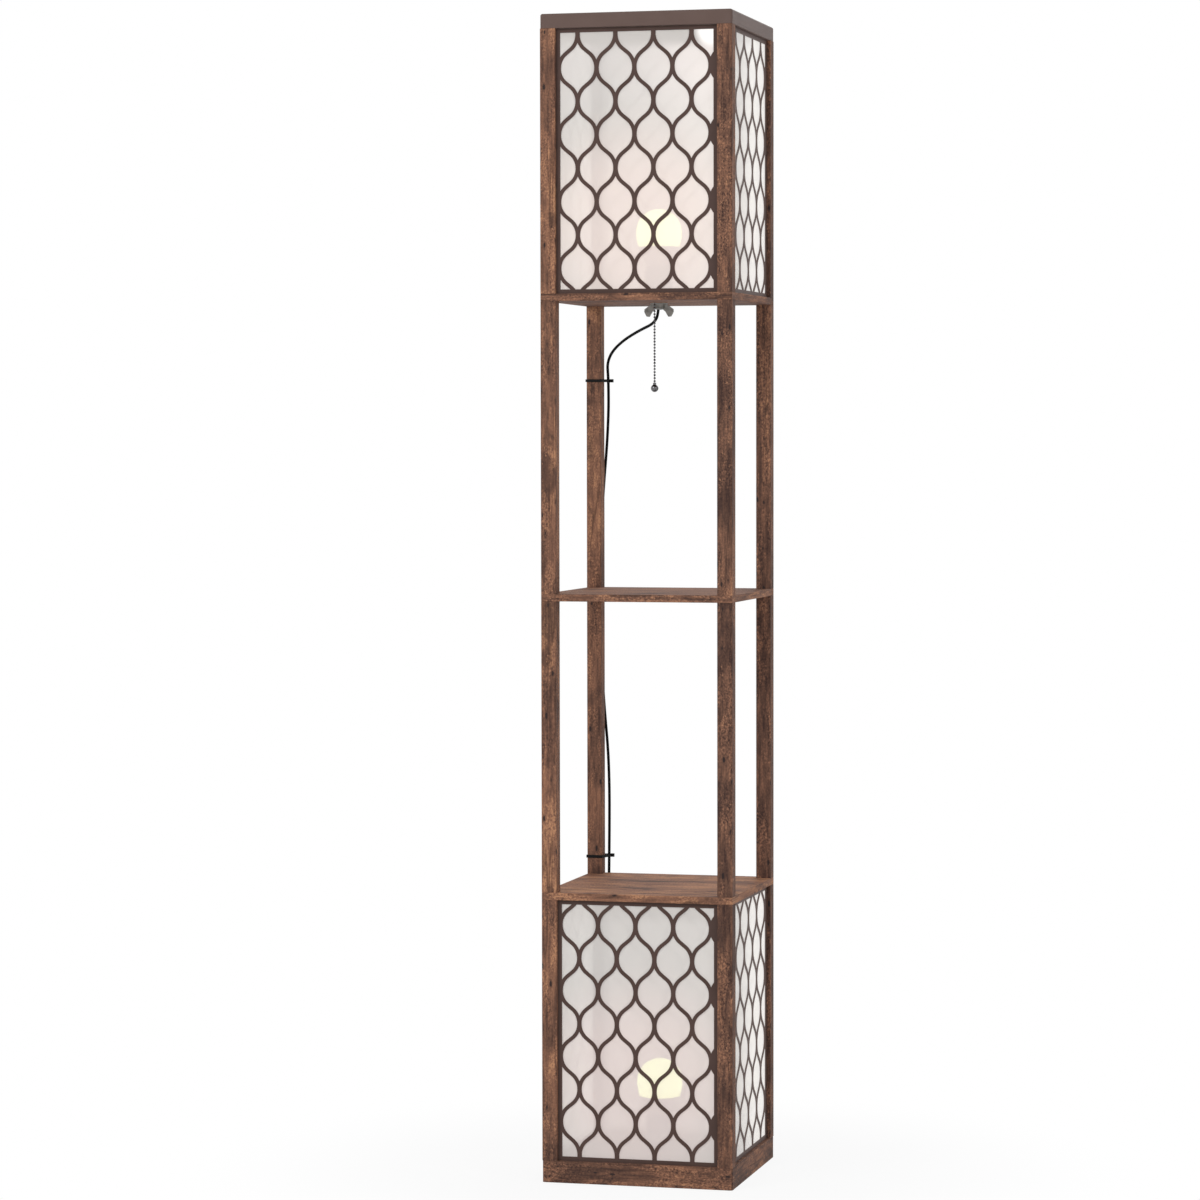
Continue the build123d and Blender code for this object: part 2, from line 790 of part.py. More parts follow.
def least_gap(line, count, skip):
    """Least distance between the tube's surface and itself, more than skip steps along."""
    places = [line @ (k / count) for k in range(count + 1)]
    least = 1e9
    for k, place in enumerate(places):
        for other in places[k + skip:]:
            least = min(least, (place - other).length)
    return least - cord_diameter


coil_ends = coil_corners()
with BuildPart() as mains_coil:
    with BuildLine() as coil_route:
        Line(Vector(*coil_ends[0]) - Vector(0, coil_straight, 0), coil_ends[0])
        heading = 1
        for here, there in zip(coil_ends, coil_ends[1:]):
            TangentArc(here, there, tangent=(0, heading, 0))
            heading = -heading
        tail = [coil_ends[-1]] + tail_points
        FilletPolyline(*tail, radius=turn_radii("mains_coil tail", tail))
    with BuildSketch(Plane(coil_route.line @ 0, z_dir=coil_route.line % 0)):
        Circle(cord_diameter / 2)
    sweep()
coil_wire = coil_route.wire()
compare_volume("mains_coil", mains_coil.part, coil_wire.length)
print("mains_coil least gap", round(least_gap(coil_wire, int(coil_wire.length / 2), 10), 3))
mains_coil.part.label = "mains_coil"
export_step(mains_coil.part, "parts/mains_coil.step")


# ---- Plug, lying on the floor ----

plug_x, plug_y, plug_z = tail_points[-1]
body_x = plug_x + sleeve_length
with BuildPart() as plug:
    with BuildSketch(Plane.XZ.offset(-plug_y)):
        with BuildLine():
            Polyline(
                (plug_x, plug_z),
                (plug_x, plug_z + sleeve_start),
                (body_x + plug_round, plug_z + sleeve_end),
                (body_x + plug_round, plug_z),
                close=True,
            )
        make_face()
    revolve(axis=Axis((0, plug_y, plug_z), (1, 0, 0)))
    with BuildSketch():
        with Locations((body_x + plug_length / 2, plug_y)):
            RectangleRounded(plug_length, plug_width, plug_round)
    extrude(amount=2 * plug_z)
    with BuildSketch(Plane.YZ.offset(body_x + plug_length)):
        with Locations((plug_y - blade_spacing / 2, plug_z), (plug_y + blade_spacing / 2, plug_z)):
            Rectangle(blade_thickness, blade_width)
    extrude(amount=blade_length)
plug.part.label = "plug"
export_step(plug.part, "parts/plug.step")


# ---- Cable ties ----

coil_inner = coil_outer - coil_halves * coil_step
coil_band = (
    coil_centre[1] + coil_inner - cord_diameter / 2 - coil_tie_play,
    coil_centre[1] + coil_outer + cord_diameter / 2 + coil_tie_play,
    coil_z - cord_diameter / 2 - coil_tie_play,
    coil_z + (coil_layers - 1) * coil_layer + cord_diameter / 2 + coil_tie_play,
)


def grip_outline(x, y):
    """What a tie is drawn round: the back left post and the lead beside it."""
    with BuildSketch() as grip:
        with Locations((-post_centre, post_centre)):
            Rectangle(post_width + 2 * tie_play, post_width + 2 * tie_play)
        with Locations((x, y)):
            Circle(cord_diameter / 2 + tie_cord_play)
        make_hull()
    return grip.sketch


with BuildPart() as cable_ties:
    for height, (x, y) in zip(tie_heights, tie_cords):
        outline = grip_outline(x, y)
        with BuildSketch(Plane.XY.offset(height - tie_width / 2)):
            add(outline)
            offset(amount=tie_thickness)
            add(outline, mode=Mode.SUBTRACT)
        extrude(amount=tie_width)
        with BuildSketch(Plane.XY.offset(height - tie_head[2] / 2)):
            with Locations((x + cord_diameter / 2 + tie_cord_play + tie_head[0] / 2, y)):
                RectangleRounded(tie_head[0], tie_head[1], 0.8)
        extrude(amount=tie_head[2])
    near, far, low, high = coil_band
    with BuildSketch(Plane.YZ.offset(coil_centre[0] - tie_width / 2)):
        with Locations(((near + far) / 2, (low + high) / 2)):
            RectangleRounded(far - near + 2 * tie_thickness, high - low + 2 * tie_thickness, 2)
            RectangleRounded(far - near, high - low, 1, mode=Mode.SUBTRACT)
    extrude(amount=tie_width)
    with BuildSketch(Plane.YZ.offset(coil_centre[0] - tie_head[2] / 2)):
        with Locations((far + tie_head[1] / 2 + 0.3, (low + high) / 2)):
            Rectangle(tie_head[1], tie_head[0])
    extrude(amount=tie_head[2])
cable_ties.part.label = "cable_ties"
export_step(cable_ties.part, "parts/cable_ties.step")
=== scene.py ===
import bpy
from math import cos, pi, radians, sin
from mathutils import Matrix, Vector


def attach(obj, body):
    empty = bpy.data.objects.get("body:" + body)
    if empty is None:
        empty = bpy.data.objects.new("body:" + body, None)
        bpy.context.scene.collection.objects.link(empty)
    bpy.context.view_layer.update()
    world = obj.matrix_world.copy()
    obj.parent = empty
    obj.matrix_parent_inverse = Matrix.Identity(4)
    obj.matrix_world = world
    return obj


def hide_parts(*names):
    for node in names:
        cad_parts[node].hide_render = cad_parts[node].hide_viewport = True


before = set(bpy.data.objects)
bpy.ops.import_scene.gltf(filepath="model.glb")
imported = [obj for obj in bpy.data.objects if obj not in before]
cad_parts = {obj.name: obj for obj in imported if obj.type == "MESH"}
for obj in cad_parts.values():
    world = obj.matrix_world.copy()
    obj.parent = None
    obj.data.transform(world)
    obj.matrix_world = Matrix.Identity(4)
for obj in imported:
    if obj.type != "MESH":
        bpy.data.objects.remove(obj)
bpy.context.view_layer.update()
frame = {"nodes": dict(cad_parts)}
nodes = frame["nodes"]

# ---------------------------------------------------------------- camera

camera = bpy.data.objects.new("camera", bpy.data.cameras.new("camera"))
bpy.context.scene.collection.objects.link(camera)
camera.location = (1.3318, -5.46288, 1.02755)
camera.rotation_euler = (radians(87.6595), radians(0.0963), radians(14.5388))
camera.data.sensor_width = 36
camera.data.lens = 121.244
camera.data.clip_end = 60
bpy.context.scene.camera = camera

# ---------------------------------------------------------------- leads

MM_PER_METRE = 1000
LEAD_RADIUS = 2.0 / MM_PER_METRE


def lead(name, points):
    """A round lead that follows its points, in millimetres, as one smooth curve.

    The curve's box grows by its points' radius, so that radius is the lead's own."""
    curve = bpy.data.curves.new(name, "CURVE")
    curve.dimensions = "3D"
    curve.bevel_depth = 1.0  # times the points' radius
    curve.bevel_resolution = 5
    curve.resolution_u = 8
    curve.use_fill_caps = True
    spline = curve.splines.new("NURBS")
    spline.points.add(len(points) - 1)
    for place, point in zip(spline.points, points):
        place.co = (*(length / MM_PER_METRE for length in point), 1)
        place.radius = LEAD_RADIUS
    spline.order_u = 3
    spline.use_endpoint_u = True
    piece = bpy.data.objects.new(name, curve)
    bpy.context.scene.collection.objects.link(piece)
    return piece


link_points = [
    (0, 0, 1226), (0, 0, 1195.5), (-11, 13, 1182), (-38, 46, 1174.5), (-72, 88, 1162),
    (-97, 118, 1147), (-108.5, 132.5, 1130), (-108, 135.8, 1112), (-107.5, 136, 1090),
    (-108, 138, 1060), (-111, 140.2, 1012), (-115.5, 140.4, 960), (-119, 139.8, 905),
    (-120.5, 140.3, 850), (-121, 139.8, 795), (-120, 140.4, 740), (-118.5, 139.8, 683),
    (-114.5, 139.6, 628), (-109.5, 138.8, 575), (-107.4, 137.4, 522), (-107.2, 136.2, 470),
    (-107.6, 136.2, 428), (-108.5, 138, 388), (-111, 140, 335), (-112.5, 140.3, 278),
    (-111, 140.2, 222), (-107, 141.5, 166), (-102, 145.5, 118), (-98.3, 151.5, 80),
    (-96.4, 158, 52), (-96, 160.5, 30.8), (-96, 153.7, 17.2), (-96, 141.1, 9), (-96, 108, 9),
]
mains_points = [(-60, 108, 9), (-60, 167, 9), (-60, 186, 3.8), (-60, 201, 3.8)]
tail_points = [(-1.6, 186, 16.3), (12, 172, 13), (34, 168, 11), (52, 168, 11)]


def coil_points():
    """Half turns that spiral in and out in four layers. Every fifth one climbs to the next layer."""
    middle_x, middle_y = -30.8, 205.0
    half_turns, steps = 19, 8
    across, up = 2.65, 4.7
    outside = 1 / cos(pi / steps / 2)  # a smooth curve runs a little inside its points
    radius, height, inward, side = 29.2, 3.8, -1, -1
    # the lead comes in from the front, along the coil's left side
    points = [(middle_x - radius, middle_y - 4, height), (middle_x - radius, middle_y - 1.5, height)]
    for half in range(half_turns):
        climbs = half % 5 == 4
        next_radius = radius if climbs else radius + inward * across
        next_height = height + up if climbs else height
        for step in range(steps):
            share = (step + 0.5) / steps
            angle = share * pi
            here = radius + (next_radius - radius) * share
            x = middle_x + side * cos(angle) * here * outside
            y = middle_y + (sin(angle) if half % 2 == 0 else -sin(angle)) * here * outside
            points.append((x, y, height + (next_height - height) * share))
        if climbs:
            inward = -inward
        radius, height, side = next_radius, next_height, -side
    return points


link_lead = lead("link_lead_sheath", link_points)
mains_lead = lead("mains_lead_sheath", mains_points)
mains_coil = lead("mains_coil_sheath", coil_points() + tail_points)
for piece, node in ((link_lead, "link_lead"), (mains_lead, "mains_lead"), (mains_coil, "mains_coil")):
    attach(piece, "tower")
    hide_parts(node)

# ---------------------------------------------------------------- shader maths


class Value:
    """A socket, or a number, that can be written in sums and products."""

    def __init__(self, nodes, socket):
        self.nodes = nodes
        self.socket = socket

    def maths(self, operation, first, second=0.0):
        made = self.nodes.node("ShaderNodeMath", {"operation": operation}, {0: first, 1: second})
        return Value(self.nodes, made.outputs[0])

    def __add__(self, other):
        return self.maths("ADD", self, other)

    __radd__ = __add__

    def __sub__(self, other):
        return self.maths("SUBTRACT", self, other)

    def __rsub__(self, other):
        return self.maths("SUBTRACT", other, self)

    def __mul__(self, other):
        return self.maths("MULTIPLY", self, other)

    __rmul__ = __mul__

    def __pow__(self, other):
        return self.maths("POWER", self, other)

    def size(self):
        return self.maths("ABSOLUTE", self)

    def most(self, other):
        return self.maths("MAXIMUM", self, other)

    def step_up(self, low, high):
        """From 0 at low to 1 at high, smoothly."""
        made = self.nodes.node(
            "ShaderNodeMapRange",
            {"interpolation_type": "SMOOTHSTEP"},
            {"Value": self, "From Min": low, "From Max": high},
        )
        return Value(self.nodes, made.outputs[0])


class Nodes:
    """A tree of shader nodes, emptied and ready to be filled."""

    def __init__(self, tree):
        self.tree = tree
        tree.nodes.clear()

    def node(self, kind, settings=None, inputs=None):
        made = self.tree.nodes.new(kind)
        for key, setting in (settings or {}).items():
            setattr(made, key, setting)
        for key, given in (inputs or {}).items():
            given = getattr(given, "socket", given)
            if isinstance(given, bpy.types.NodeSocket):
                self.tree.links.new(given, made.inputs[key])
            else:
                made.inputs[key].default_value = given
        return made

    def seen(self):
        """1 where it is seen, straight, in a gloss or through a clear sheet, and 0 in the light it gives."""
        path = self.node("ShaderNodeLightPath")
        kinds = ("Camera", "Glossy", "Transmission")
        direct, mirrored, through = [Value(self, path.outputs[f"Is {kind} Ray"]) for kind in kinds]
        return direct.most(mirrored).most(through)


class Finish(Nodes):
    """One material, and the nodes that make it."""

    def __init__(self, name):
        self.material = bpy.data.materials.new(name)
        self.material.use_nodes = True
        super().__init__(self.material.node_tree)
        self.shader = self.node("ShaderNodeBsdfPrincipled")
        self.end = self.node("ShaderNodeOutputMaterial", {}, {"Surface": self.shader.outputs[0]})

    def set(self, name, given):
        given = getattr(given, "socket", given)
        socket = self.shader.inputs[name]
        if isinstance(given, bpy.types.NodeSocket):
            self.tree.links.new(given, socket)
        else:
            socket.default_value = given

    def place(self, scale=(1, 1, 1), shift=(0, 0, 0), start=None):
        """Places on the object, stretched for a pattern."""
        start = start or self.node("ShaderNodeTexCoord").outputs["Object"]
        given = {"Vector": start, "Scale": scale, "Location": shift}
        return self.node("ShaderNodeMapping", {}, given).outputs[0]

    def lengths(self, vector):
        """The three lengths of a vector."""
        split = self.node("ShaderNodeSeparateXYZ", {}, {0: vector})
        return [Value(self, split.outputs[k]) for k in range(3)]

    def spot(self):
        """Where a place on the object lies, in metres."""
        return self.lengths(self.node("ShaderNodeTexCoord").outputs["Object"])

    def facing_side(self, low, high):
        """0 where the surface faces front, back, up or down, and 1 where it faces left or right."""
        normal = self.node("ShaderNodeNewGeometry").outputs["Normal"]
        return self.lengths(normal)[0].size().step_up(low, high)

    def noise(self, place, scale, detail, roughness=0.5, twist=0.0):
        given = {"Vector": place, "Scale": scale, "Detail": detail, "Roughness": roughness}
        made = self.node("ShaderNodeTexNoise", {}, {**given, "Distortion": twist})
        return Value(self, made.outputs[0])

    def ramp(self, share, stops):
        """Colours that follow each other as the share rises, each given with its share."""
        made = self.node("ShaderNodeValToRGB", {}, {0: share})
        elements = made.color_ramp.elements
        while len(elements) < len(stops):
            elements.new(0.5)
        for element, (place, colour) in zip(elements, stops):
            element.position = place
            element.color = colour
        return made.outputs[0]

    def mix(self, share, first, second):
        """The first colour where the share is 0, the second where it is 1."""
        made = self.node("ShaderNodeMix", {"data_type": "RGBA"}, {0: share, 6: first, 7: second})
        return made.outputs[2]

    def bump(self, height, strength, distance):
        given = {"Height": height, "Strength": strength, "Distance": distance}
        self.set("Normal", self.node("ShaderNodeBump", {}, given).outputs[0])


def solid(red, green, blue):
    """A colour as it is seen, in numbers up to 255, as the shader's light levels."""
    levels = []
    for level in (red, green, blue):
        share = level / 255
        levels.append(share / 12.92 if share <= 0.04045 else ((share + 0.055) / 1.055) ** 2.4)
    return (*levels, 1)


def shade(colour, share):
    """The colour with every level multiplied."""
    return tuple(level * share for level in colour)


# ---------------------------------------------------------------- finishes


def along_edges(finish):
    """Places whose first length runs along a board's front and back edges, and along its sides too."""
    where = finish.node("ShaderNodeTexCoord").outputs["Object"]
    x, y, z = finish.lengths(where)
    turned = finish.node("ShaderNodeCombineXYZ", {}, {0: y, 1: x, 2: z}).outputs[0]
    given = {0: finish.facing_side(0.65, 0.75), 4: where, 5: turned}
    return finish.node("ShaderNodeMix", {"data_type": "VECTOR"}, given).outputs[1]


def rustic_wood(name, standing, seed, tone):
    """Brown wood print: clouds, smudges, patches of speckle, cracks along the grain and dark knots.

    The grain runs up a standing piece, and along the edges of a lying one. A higher tone is lighter."""
    finish = Finish(name)
    start = None if standing else along_edges(finish)
    shift = (seed * 0.37, seed * 0.61, seed * 0.83)

    def stretched(share):
        scale = (1, 1, share) if standing else (share, 1, 1)
        return finish.place(scale, shift, start)

    cloud = finish.noise(stretched(0.4), 17.0, 3.0, 0.55, 0.4)
    patch = finish.noise(stretched(0.3), 50.0, 4.0, 0.6, 0.8)
    grain = finish.noise(stretched(0.08), 260.0, 3.0, 0.6, 0.3)
    speck = finish.noise(stretched(0.7), 470.0, 2.0, 0.6)
    rough = patch.step_up(0.42, 0.6)
    speckle = (speck - 0.5) * (0.17 + 0.42 * rough)
    tint = cloud * 0.42 + patch * 0.28 + grain * 0.34 + speckle + (tone - 0.02)
    colour = finish.ramp(
        tint,
        [
            (0.36, solid(68, 49, 44)),
            (0.44, solid(100, 73, 61)),
            (0.51, solid(130, 94, 76)),
            (0.58, solid(156, 112, 88)),
            (0.68, solid(196, 144, 108)),
        ],
    )
    smudge = finish.noise(stretched(0.38), 24.0, 4.0, 0.66, 1.0)
    colour = finish.mix(smudge.step_up(0.54, 0.66) * 0.62, colour, solid(72, 55, 50))
    line = finish.noise(stretched(0.05), 64.0, 2.0, 0.5, 0.3)
    crack = 1.0 - (line - 0.5).size().step_up(0.006, 0.03)
    colour = finish.mix(crack * cloud.step_up(0.46, 0.58) * 0.5, colour, solid(62, 45, 40))
    fleck = finish.noise(stretched(0.6), 420.0, 1.0).step_up(0.66, 0.72)
    colour = finish.mix(fleck * rough * 0.55, colour, solid(206, 152, 116))
    cell_places = {"Vector": stretched(0.38), "Scale": 84.0, "Randomness": 1.0}
    cells = finish.node("ShaderNodeTexVoronoi", {}, cell_places)
    chosen = finish.lengths(cells.outputs["Color"])[0].step_up(0.24, 0.26)
    ring = Value(finish, cells.outputs["Distance"]) + (patch - 0.5) * 0.16 + (speck - 0.5) * 0.06
    halo = (1.0 - ring.step_up(0.16, 0.28)) * chosen
    knot = (1.0 - ring.step_up(0.1, 0.15)) * chosen
    colour = finish.mix(halo * 0.45, colour, solid(90, 66, 56))
    finish.set("Base Color", finish.mix(knot * 0.92, colour, solid(48, 40, 40)))
    finish.set("Roughness", 0.6 + grain * 0.14 - knot * 0.1)
    finish.set("Specular IOR Level", 0.12)
    finish.bump(grain + speck * 0.8 - crack * 0.6, 0.16, 0.0005)
    return finish.material


def plain_board(name, colour, clouded, roughness, streaks=0.0):
    """Even painted or foil-faced board, faintly clouded. Its sides can have streaks."""
    finish = Finish(name)
    cloud = finish.noise(finish.place(), 30.0, 2.0)
    tooth = finish.noise(finish.place(), 1400.0, 2.0)
    tint = finish.mix(cloud.step_up(0.3, 0.7), solid(*colour), solid(*clouded))
    if streaks:
        streak = 1.0 - finish.noise(finish.place((1, 0.05, 1)), 330.0, 3.0, 0.6).step_up(0.35, 0.6)
        dark = streak * finish.facing_side(0.8, 0.95) * streaks
        tint = finish.mix(dark, tint, shade(solid(*colour), 0.72))
    finish.set("Base Color", tint)
    finish.set("Roughness", roughness + tooth * 0.1)
    finish.set("Specular IOR Level", 0.14)
    finish.bump(tooth, 0.08, 0.0002)
    return finish.material


def moulded(name, colour, roughness, gloss=0.3, tooth_scale=900.0, tooth_strength=0.1):
    """Moulded plastic with a fine spark texture."""
    finish = Finish(name)
    tooth = finish.noise(finish.place(), tooth_scale, 2.0)
    tint = finish.mix(tooth.step_up(0.35, 0.65), solid(*colour), solid(*shade(colour, 0.86)))
    finish.set("Base Color", tint)
    finish.set("Roughness", roughness + tooth * 0.12)
    finish.set("Specular IOR Level", gloss)
    finish.bump(tooth, tooth_strength, 0.0003)
    return finish.material


def plated(name, colour, roughness, blotch=0.7):
    """Plated or cast metal with fine scratches, and stains as dark as the blotch says."""
    finish = Finish(name)
    scratch = finish.noise(finish.place((1, 1, 0.1)), 900.0, 3.0)
    stain = finish.noise(finish.place(), 160.0, 3.0)
    tint = finish.mix(stain.step_up(0.4, 0.7), solid(*colour), solid(*shade(colour, blotch)))
    finish.set("Base Color", tint)
    finish.set("Metallic", 1.0)
    finish.set("Roughness", roughness + scratch * 0.15)
    finish.bump(scratch, 0.05, 0.0002)
    return finish.material


RIGHTWARDS, UPWARDS = 0, 2


def part_metal(name, colour, metal, direction, low, high):
    """Glossy plastic that gives way to plated metal in one direction, from low to high."""
    finish = Finish(name)
    tooth = finish.noise(finish.place(), 1200.0, 2.0)
    share = finish.spot()[direction].step_up(low, high)
    plastic = finish.mix(tooth, solid(*colour), solid(*shade(colour, 0.94)))
    finish.set("Base Color", finish.mix(share, plastic, solid(*metal)))
    finish.set("Metallic", share)
    finish.set("Roughness", 0.34 + tooth * 0.1 - share * 0.08)
    finish.bump(tooth, 0.04, 0.0002)
    return finish.material


def milky_sheet(name, bulb_z, top_z, painted_glows, painted_warm_glow):
    """A milky sheet, with the light from the bulb behind it painted into its emission, warmer near the bulb.

    This painted glow is given at the front's left and right, low and high, at the sides, as painted shade
    just under the top rail, and as a painted highlight in the top corner on the right. The sides' painted
    glow is stronger towards the back."""
    left_to_right = (-0.06, 0.12)
    low_to_high = (0.1, 0.24)
    side_sheets = (0.118, 0.124)
    near_bulb = (0.13, 0.22)
    painted_shade_under_rail = (-0.027, -0.01)
    corner_x, corner_highlight_reach = 0.107, (0.017, 0.028)
    finish = Finish(name)
    x, y, z = finish.spot()
    away = (x * x + y * y + (z - bulb_z) * (z - bulb_z)) ** 0.5
    at_side = x.size().step_up(*side_sheets)
    fine = finish.noise(finish.place(), 2500.0, 2.0)
    cloud = finish.noise(finish.place((1, 1, 0.4)), 9.0, 2.0).step_up(0.35, 0.65)
    # Painted light: the sheet's glow is brighter to the right and higher up.
    to_right = x.step_up(*left_to_right)
    light = {place: solid(*glow) for place, glow in painted_glows.items()}
    low_left = finish.mix(cloud, light["low_left"], shade(light["low_left"], 0.88))
    low = finish.mix(to_right, low_left, light["low_right"])
    high = finish.mix(to_right, light["high_left"], light["high_right"])
    glow = finish.mix((z - bulb_z).step_up(*low_to_high), low, high)
    # Painted shade just under the top rail.
    glow = finish.mix((z - top_z).step_up(*painted_shade_under_rail), glow, light["top"])
    # A painted highlight in the top corner on the right.
    from_corner = ((x - corner_x) * (x - corner_x) + (z - top_z) * (z - top_z)) ** 0.5
    glow = finish.mix(from_corner.step_up(*corner_highlight_reach), light["corner"], glow)
    # Painted light on the side sheets, brighter towards the back.
    to_back = y.step_up(-0.1, 0.1)
    painted_side_glow = finish.mix(to_back, shade(light["side"], 0.74), shade(light["side"], 1.62))
    # A painted warm glow near the bulb, on the front and back sheets.
    near = (1.0 - away.step_up(*near_bulb)) * (1.0 - at_side)
    glow = finish.mix(near * 0.75, finish.mix(at_side, glow, painted_side_glow), solid(*painted_warm_glow))
    finish.set("Base Color", finish.mix(fine, solid(219, 215, 211), solid(215, 211, 207)))
    finish.set("Roughness", 0.5 + fine * 0.1)
    finish.set("Specular IOR Level", 0.3)
    finish.set("Emission Color", glow)
    finish.set("Emission Strength", 1.0)
    finish.set("Alpha", 0.64)
    finish.bump(fine, 0.04, 0.0002)
    return finish.material


def lit_globe(name, seam_z):
    """A lit globe, pale yellow, a little deeper towards its seam."""
    finish = Finish(name)
    up = (finish.spot()[2] - seam_z).step_up(0.0, 0.012)
    cloud = finish.noise(finish.place(), 40.0, 2.0)
    finish.set("Base Color", solid(250, 248, 236))
    finish.set("Roughness", 0.3 + cloud * 0.1)
    finish.set("Emission Color", finish.mix(up, solid(232, 246, 158), solid(232, 252, 168)))
    finish.set("Emission Strength", 2.5)
    return finish.material


# ---------------------------------------------------------------- what takes which finish


def dress(material, *names):
    """Gives the named pieces one finish."""
    for name in names:
        slots = nodes[name].data.materials
        slots.clear()
        slots.append(material)


corners = ["front_left", "front_right", "back_left", "back_right"]
sides = ["front", "right", "back", "left"]
tiers = ["lower_lamp_post", "lower_bay_post", "upper_bay_post", "upper_lamp_post"]
post_tones = {
    "front_left": [0.0, 0.02, 0.03, 0.04],
    "front_right": [-0.035, -0.03, -0.03, 0.0],
    "back_left": [0.0, 0.01, 0.03, 0.01],
    "back_right": [-0.04, -0.03, -0.03, -0.04],
}
# Each piece has a seed of its own, so that no two show the same print.
for k, tier in enumerate(tiers):
    for n, corner in enumerate(corners):
        name = f"{tier}_{corner}"
        seed, tone = 1 + 4 * k + n, post_tones[corner][k]
        dress(rustic_wood(f"wood_print_{name}", standing=True, seed=seed, tone=tone), name)
shelf_tones = {"lower_shelf": 0.087, "middle_shelf": 0.025, "upper_shelf": -0.01}
for n, (name, tone) in enumerate(shelf_tones.items()):
    dress(rustic_wood(f"wood_print_{name}", standing=False, seed=21 + n, tone=tone), name)
dress(rustic_wood("wood_print_base", standing=False, seed=31, tone=-0.022), "base_slab")
dress(plain_board("lid_foil", (110, 91, 84), (107, 88, 81), roughness=0.5, streaks=0.5), "lid")
dress(plain_board("bare_hardboard", (120, 88, 62), (104, 76, 54), roughness=0.7), "base_cover")
dress(plain_board("peg_beech", (196, 160, 116), (178, 142, 100), roughness=0.6), "lid_pegs")

front_foil = plain_board("lattice_foil", (90, 71, 65), (85, 67, 61), roughness=0.5)
# The side lattices are the same foil as the front and back, painted lighter for the light that falls on
# their sides.
side_foil_painted_lighter = plain_board("side_lattice_foil_painted_lighter", (106, 88, 82), (101, 84, 78), roughness=0.5)
# Painted glow of the upper sheets, standing in for the bulb's light: top is painted shade just under the top
# rail, corner a painted highlight.
upper_painted_glows = {
    "low_left": (108, 106, 102),
    "low_right": (148, 144, 140),
    "high_left": (120, 116, 114),
    "high_right": (166, 158, 155),
    "side": (152, 151, 149),
    "top": (106, 103, 99),
    "corner": (208, 207, 205),
}
# Painted glow of the lower sheets, in the same places: top is painted shade just under the top rail.
lower_painted_glows = {
    "low_left": (106, 105, 103),
    "low_right": (116, 114, 112),
    "high_left": (108, 106, 104),
    "high_right": (120, 118, 116),
    "side": (154, 153, 151),
    "top": (98, 96, 94),
    "corner": (106, 104, 102),
}
upper_sheet = milky_sheet(
    "upper_milky_sheet_painted_glow", bulb_z=1.31, top_z=1.574, painted_glows=upper_painted_glows, painted_warm_glow=(162, 140, 133)
)
lower_sheet = milky_sheet(
    "lower_milky_sheet_painted_glow", bulb_z=0.14, top_z=0.384, painted_glows=lower_painted_glows, painted_warm_glow=(145, 124, 122)
)
for side in sides:
    foil = front_foil if side in ("front", "back") else side_foil_painted_lighter
    dress(foil, f"upper_lattice_{side}", f"lower_lattice_{side}")
    dress(upper_sheet, f"upper_diffuser_{side}")
    dress(lower_sheet, f"lower_diffuser_{side}")

dress(lit_globe("upper_lit_globe", seam_z=1.288), "upper_bulb_globe")
dress(lit_globe("lower_lit_globe", seam_z=0.104), "lower_bulb_globe")
housing_white, cap_metal = (222, 214, 210), (176, 174, 170)
for box, cap_top in (("upper", 1.26), ("lower", 0.076)):
    housing = part_metal(
        f"{box}_bulb_housing", housing_white, cap_metal, UPWARDS, cap_top + 0.0001, cap_top - 0.0001
    )
    dress(housing, f"{box}_bulb_base")
dress(moulded("holder_black", (26, 25, 25), roughness=0.4), "upper_holder", "lower_holder")
dress(moulded("tie_black", (9, 9, 9), roughness=0.5, gloss=0.15), "cable_ties")
dress(moulded("relief_black", (14, 14, 14), roughness=0.5, gloss=0.2), "strain_relief")
body_black, blade_metal = (17, 17, 17), (188, 182, 168)
dress(part_metal("plug_black", body_black, blade_metal, RIGHTWARDS, 0.0979, 0.0981), "plug")
dress(plated("cast_grey", (162, 160, 155), roughness=0.42, blotch=0.82), "upper_wing_nut")
dress(moulded("terminal_white", (224, 222, 214), roughness=0.35), "terminal_block")
fasteners = ["cover_screws", "joining_studs", "base_bolts", "lower_lock_nut", "holder_nipples"]
dress(plated("zinc", (190, 190, 188), roughness=0.3), *fasteners)
dress(plated("chain_plate", (116, 116, 118), roughness=0.12, blotch=0.6), "pull_chain", "pull_ball")

cord_black = moulded(
    "sheath_black", (7, 7, 7), roughness=0.6, gloss=0.1, tooth_scale=1500.0, tooth_strength=0.06
)
for piece in (link_lead, mains_lead, mains_coil):
    piece.data.materials.append(cord_black)

# ---------------------------------------------------------------- floor, light and background

TOWER_MIDDLE = Vector((0, 0, 0.8))


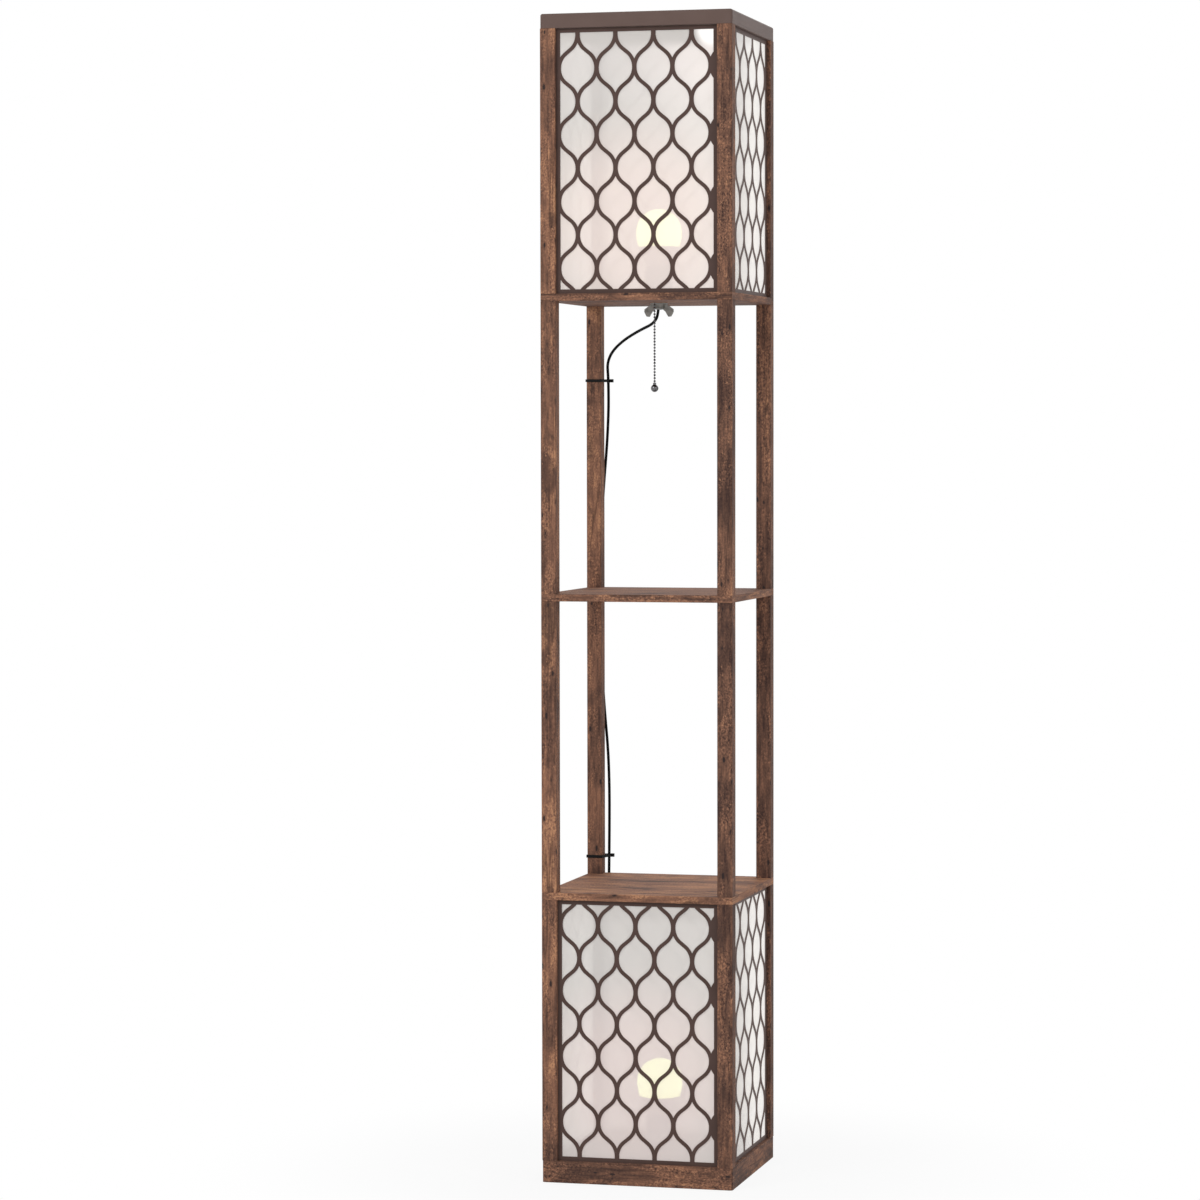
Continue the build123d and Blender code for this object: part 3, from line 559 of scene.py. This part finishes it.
def soft_light(name, place, size, power):
    """A round lamp that faces the middle of the tower."""
    lamp = bpy.data.lights.new(name, "AREA")
    lamp.shape = "DISK"
    lamp.size = size
    lamp.energy = power
    piece = bpy.data.objects.new(name, lamp)
    piece.location = place
    piece.rotation_euler = (TOWER_MIDDLE - Vector(place)).to_track_quat("-Z", "Y").to_euler()
    bpy.context.scene.collection.objects.link(piece)


studio = bpy.data.worlds.new("studio")
bpy.context.scene.world = studio
studio.use_nodes = True
air = Nodes(studio.node_tree)
# The background is seen as white, but gives a dimmer light.
lit = air.node("ShaderNodeBackground", {}, {"Color": (0.96, 0.97, 1.0, 1), "Strength": 0.5})
white = air.node("ShaderNodeBackground", {}, {"Color": (1, 1, 1, 1), "Strength": 1.0})
both = air.node("ShaderNodeMixShader", {}, {0: air.seen(), 1: lit.outputs[0], 2: white.outputs[0]})
air.node("ShaderNodeOutputWorld", {}, {"Surface": both.outputs[0]})

reach = 9.0
floor_mesh = bpy.data.meshes.new("floor")
floor_corners = [(-reach, -reach, 0), (reach, -reach, 0), (reach, reach, 0), (-reach, reach, 0)]
floor_mesh.from_pydata(floor_corners, [], [(0, 1, 2, 3)])
floor = bpy.data.objects.new("floor", floor_mesh)
floor.location = (0, 0, -0.0005)  # just under the base
bpy.context.scene.collection.objects.link(floor)
pale = Finish("pale_floor")
pale.set("Base Color", (0.82, 0.82, 0.82, 1))
pale.set("Roughness", 0.9)
pale.set("Specular IOR Level", 0.1)
# Near the lamp the floor is seen a little shaded, and further off it is as white as the background.
x, y = pale.spot()[:2]
from_lamp = (x * x + y * y) ** 0.5
glow = pale.node("ShaderNodeEmission", {}, {"Color": (1, 1, 1, 1), "Strength": 1.0})
share = pale.seen() * (0.9 + 0.1 * from_lamp.step_up(0.2, 0.7))
both = pale.node("ShaderNodeMixShader", {}, {0: share, 1: pale.shader.outputs[0], 2: glow.outputs[0]})
pale.tree.links.new(both.outputs[0], pale.end.inputs["Surface"])
floor_mesh.materials.append(pale.material)

soft_light("key", (-2.6, -4.2, 3.4), size=2.6, power=92)
soft_light("fill", (3.8, -2.6, 2.4), size=2.6, power=34)
soft_light("back", (0.5, 4.0, 3.0), size=2.4, power=26)

bpy.context.scene.view_settings.view_transform = "Standard"

bpy.context.view_layer.update()
